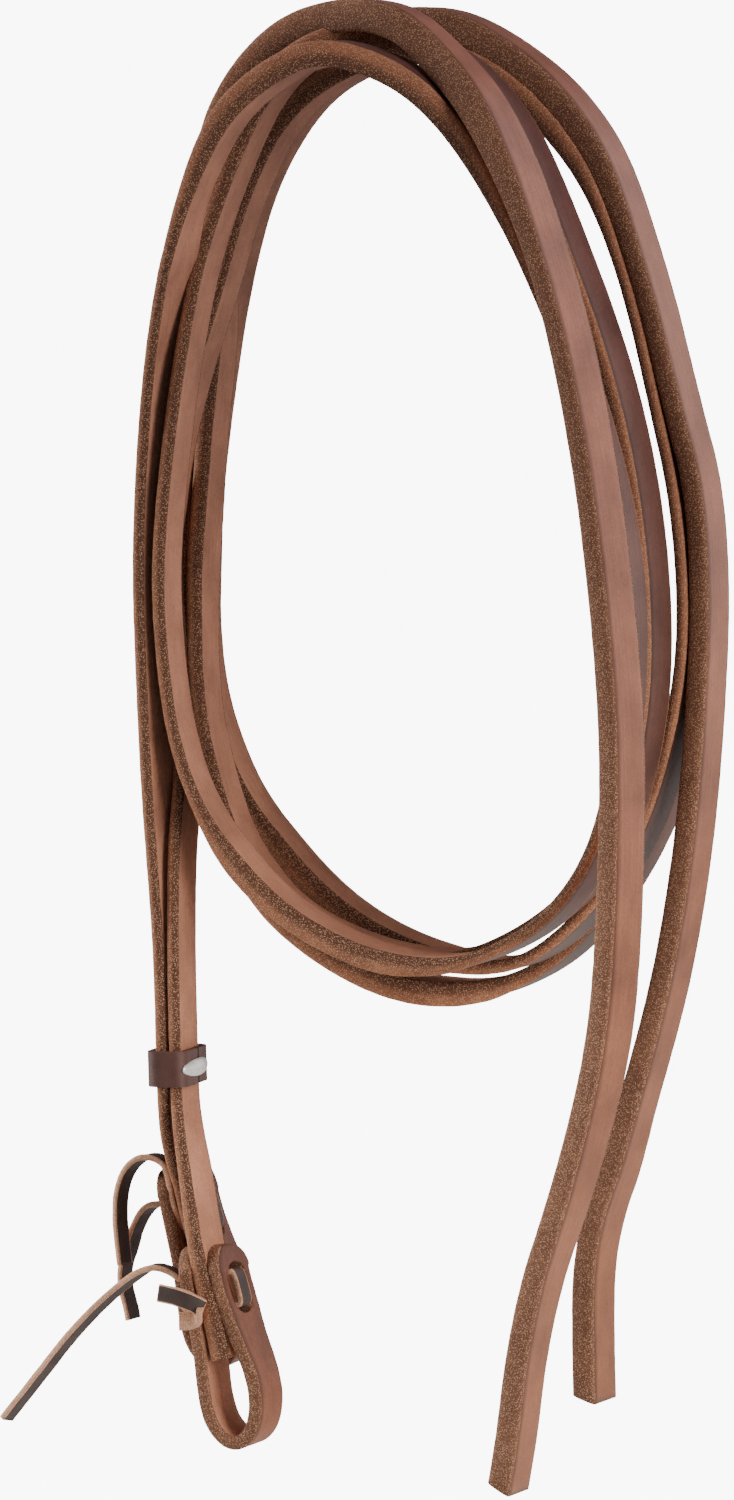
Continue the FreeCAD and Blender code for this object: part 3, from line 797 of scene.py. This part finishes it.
def lace_leathers():
    """Dark faces and a pale cut edge."""
    face = smooth_hide("lace_face", colour=(0.036, 0.02, 0.016), pale=(0.078, 0.048, 0.04), roughness=0.6)[0]
    edge = cut_edge("lace_edge", base=(0.72, 0.4, 0.26), speck=(0.9, 0.6, 0.42), dark=(0.4, 0.2, 0.13),
                    low_base=(0.72, 0.4, 0.26), low_speck=(0.9, 0.6, 0.42))
    return face, face, edge


# ---------------------------------------------------------------- building the pieces
def rein_thickness(share_from_tail):
    return BIT_T + (TAIL_T - BIT_T) * (1.0 - share_from_tail) ** 3


def even_thickness(thick):
    return lambda share: thick


def dress(piece, materials):
    for material in materials:
        piece.data.materials.append(material)


def stand_for(piece, node):
    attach(piece, "reins")
    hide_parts(node)


def make_rein(name, node, route, middle, y, lean_at, materials):
    """One rein with its lace slot; it leaves the bit end and hangs free at the tail."""
    points = line_through(route, REIN_STEPS)
    piece = strap_object(name, points, even_width(STRAP_W), rein_thickness, EDGE_CROWN, lean_at,
                         hinged=True, skew=TAIL_SKEW, swell_at=hanging_swell)
    dress(piece, materials)
    cut_slot(piece, middle, y)
    stand_for(piece, node)
    path = list(reversed(points))
    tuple(path[0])


def loop_lean(place, distance):
    """The near loop's outside turns to the front, most of all at its slotted end."""
    return LOOP_LEAN + SLOT_LEAN * ease(distance, SLOTTED_RUN)


def no_lean(place, distance):
    return 0.0


def make_water_strap(name, node, shift, middle, y, spread, lean_at, slot_width, materials):
    """Strap folded into the loop that carries the bit, both ends slotted for the lace."""
    route = [[x + shift[0], y, z + shift[1] - LOOP_DROP * ease(-z, DROP_ZONE)] for x, z in LOOP_ROUTE]
    route[0][0] -= spread
    route[1][0] -= SPREAD_AT_NEXT * spread
    points = line_through(route, LOOP_STEPS)
    piece = strap_object(name, points, round_ended, even_thickness(LOOP_T), LOOP_CROWN, lean_at, hinged=True)
    dress(piece, materials)
    cut_slot(piece, middle, y, slot_width)
    stand_for(piece, node)


def lace_lean(place, distance):
    """The laces' free ends and the near lace's bight turn a face to the front."""
    free = LACE_LEAN * (1.0 - ease(place.x, LACE_FREE_X))
    return free + (LOOP_LEAN + SLOT_LEAN) * ease(place.x, LACE_SLOT_X)


def make_lace(name, node, route, materials):
    points = line_through(route, LACE_STEPS)
    piece = strap_object(name, points, even_width(LACE_W), even_thickness(LACE_T), LACE_CROWN, lace_lean)
    dress(piece, materials)
    stand_for(piece, node)
    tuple(route[0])


def make_stub(materials):
    """The near lace's short end, which lies flat across the front of the straps and doubles back."""
    pale = (materials[EDGE],) * 3
    for name, route, look in (("near_lace_end", STUB_FRONT, materials), ("near_lace_fold", STUB_BACK, pale)):
        part = strap_object(name, line_through(route, STUB_STEPS), even_width(LACE_W),
                            even_thickness(LACE_T), LACE_CROWN, wide=STUB_ACROSS)
        dress(part, look)
        stand_for(part, "tie_lace_near")


def near_lace_route():
    """In through the slot below its middle, round the bight on the right, and back out above."""
    flat = NEAR_STUB + [stack_point(STACK, LACE_OUT, -PASS)]
    flat += [stack_point(STACK, through + BIGHT_OUT, up) for through, up in reversed(BIGHT)]
    flat += [stack_point(STACK, LACE_OUT, PASS)] + NEAR_TAIL
    return [(x, NEAR_Y, z) for x, z in flat]


def far_lace_route():
    """In through the slot above its middle, round the bight, out below and up beside the strap."""
    flat = FAR_LOW_TAIL + [stack_point(FAR_STACK, FAR_LACE_OUT, PASS)]
    flat += [stack_point(FAR_STACK, *spot) for spot in BIGHT]
    flat.append(stack_point(FAR_STACK, FAR_LACE_SIDE, -PASS))
    route = [(x, FAR_Y, z) for x, z in flat]
    for through, up, step in RISING:
        x, z = stack_point(FAR_STACK, through, up)
        route.append((x, FAR_Y + step, z))
    return route + [(x, FAR_Y + SIDE_STEP, z) for x, z in FAR_HIGH_TAIL]


def make_staple(material):
    """Bright oval staple, domed a little, across the band's butt joint."""
    mesh = bmesh.new()
    bmesh.ops.create_uvsphere(mesh, u_segments=48, v_segments=24, radius=0.5)
    for vertex in mesh.verts:
        vertex.co.x *= STAPLE_SIZE[0]
        vertex.co.y *= STAPLE_SIZE[1]
        vertex.co.z *= STAPLE_SIZE[2]
        vertex.co.x -= STAPLE_BEND * vertex.co.y ** 2
        vertex.co += Vector(STAPLE_PLACE)
    for face in mesh.faces:
        face.smooth = True
    piece = mesh_object("staple", mesh)
    piece.data.materials.append(material)
    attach(piece, "keeper")
    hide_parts("keeper_staple")


def make_keeper():
    """The band keeps its CAD shape; the staple gets its look from here."""
    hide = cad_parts["keeper_band"].data
    hide.materials.clear()
    hide.materials.append(keeper_hide(colour=(0.066, 0.025, 0.019), pale=(0.115, 0.046, 0.035)))
    make_staple(nickel())


# ---------------------------------------------------------------- studio
def area_light(name, place, size, power, colour):
    """Rectangular soft light turned towards the coil's middle."""
    data = bpy.data.lights.new(name, "AREA")
    data.shape = "RECTANGLE"
    data.size, data.size_y = size
    data.energy = power
    data.color = colour
    lamp = bpy.data.objects.new(name, data)
    lamp.location = place
    lamp.rotation_euler = (Vector(COIL_MIDDLE) - Vector(place)).to_track_quat("-Z", "Y").to_euler()
    bpy.context.scene.collection.objects.link(lamp)


def make_camera():
    """A long lens from the right and a little above."""
    data = bpy.data.cameras.new("camera")
    data.sensor_fit = "VERTICAL"
    data.sensor_height = SENSOR_H
    data.lens = SENSOR_H * LENS_PER_HEIGHT
    data.clip_end = CLIP_END
    camera = bpy.data.objects.new("camera", data)
    camera.location = CAMERA_PLACE
    camera.rotation_euler = (math.radians(90.0 - CAMERA_DOWN), 0.0, math.radians(CAMERA_ROUND))
    bpy.context.scene.collection.objects.link(camera)
    bpy.context.scene.camera = camera


def seen_white(nodes, links, other, output, strength):
    """Shine white straight at the camera and act as the other shader for the rest of the light."""
    rays = nodes.new("ShaderNodeLightPath")
    glow = nodes.new("ShaderNodeEmission")
    glow.inputs["Color"].default_value = PURE_WHITE
    glow.inputs["Strength"].default_value = strength
    join = nodes.new("ShaderNodeMixShader")
    links.new(rays.outputs["Is Camera Ray"], join.inputs[0])
    links.new(other, join.inputs[1])
    links.new(glow.outputs["Emission"], join.inputs[2])
    links.new(join.outputs["Shader"], output.inputs["Surface"])


def make_world():
    """Plain white to the camera, weak white light to the object."""
    world = bpy.data.worlds.new("studio")
    world.use_nodes = True
    nodes = world.node_tree.nodes
    links = world.node_tree.links
    backdrop = nodes["Background"]
    backdrop.inputs["Color"].default_value = PURE_WHITE
    backdrop.inputs["Strength"].default_value = AMBIENT
    rays = nodes.new("ShaderNodeLightPath")
    white = nodes.new("ShaderNodeBackground")
    white.inputs["Color"].default_value = PURE_WHITE
    white.inputs["Strength"].default_value = WHITE
    join = nodes.new("ShaderNodeMixShader")
    links.new(rays.outputs["Is Camera Ray"], join.inputs[0])
    links.new(backdrop.outputs["Background"], join.inputs[1])
    links.new(white.outputs["Background"], join.inputs[2])
    links.new(join.outputs["Shader"], nodes["World Output"].inputs["Surface"])
    bpy.context.scene.world = world


def make_floor():
    """Broad pale floor, well below the tails."""
    mesh = bpy.data.meshes.new("floor")
    reach = FLOOR_REACH
    corners = [(-reach, -reach, FLOOR_Z), (reach, -reach, FLOOR_Z),
               (reach, reach, FLOOR_Z), (-reach, reach, FLOOR_Z)]
    mesh.from_pydata(corners, [], [(0, 1, 2, 3)])
    floor = bpy.data.objects.new("floor", mesh)
    bpy.context.scene.collection.objects.link(floor)
    material, nodes, links, shader = node_material("pale_floor")
    shader.inputs["Base Color"].default_value = FLOOR_GREY
    shader.inputs["Roughness"].default_value = 0.9
    seen_white(nodes, links, shader.outputs["BSDF"], nodes["Material Output"], WHITE)
    mesh.materials.append(material)


def make_studio():
    """White backdrop, a big soft light at each side, one behind for sheen and a weak one above."""
    make_world()
    make_floor()
    for light in LIGHTS:
        area_light(*light)


# ---------------------------------------------------------------- the whole scene
def main():
    make_camera()
    make_studio()
    grain, flesh, edge = strap_leathers()
    rein_set = (grain, flesh, edge)
    loop_set = (loop_grain(), flesh, edge)
    lace_set = lace_leathers()
    make_rein("near_rein", "rein_near", REIN_NEAR_ROUTE, STACK, NEAR_Y, near_rein_lean, rein_set)
    make_rein("far_rein", "rein_far", REIN_FAR_ROUTE, FAR_STACK, FAR_Y, far_rein_lean, rein_set)
    make_water_strap("near_water_strap", "water_strap_near", (0, 0), STACK, NEAR_Y, 0.0, loop_lean,
                     OPEN_SLOT_W, loop_set)
    make_water_strap("far_water_strap", "water_strap_far", FAR_SHIFT, FAR_STACK, FAR_Y, FAR_TIP_SPREAD,
                     no_lean, SLOT_W, loop_set)
    make_lace("near_lace", "tie_lace_near", near_lace_route(), lace_set)
    make_lace("far_lace", "tie_lace_far", far_lace_route(), lace_set)
    make_stub(lace_set)
    make_keeper()


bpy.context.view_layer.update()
main()
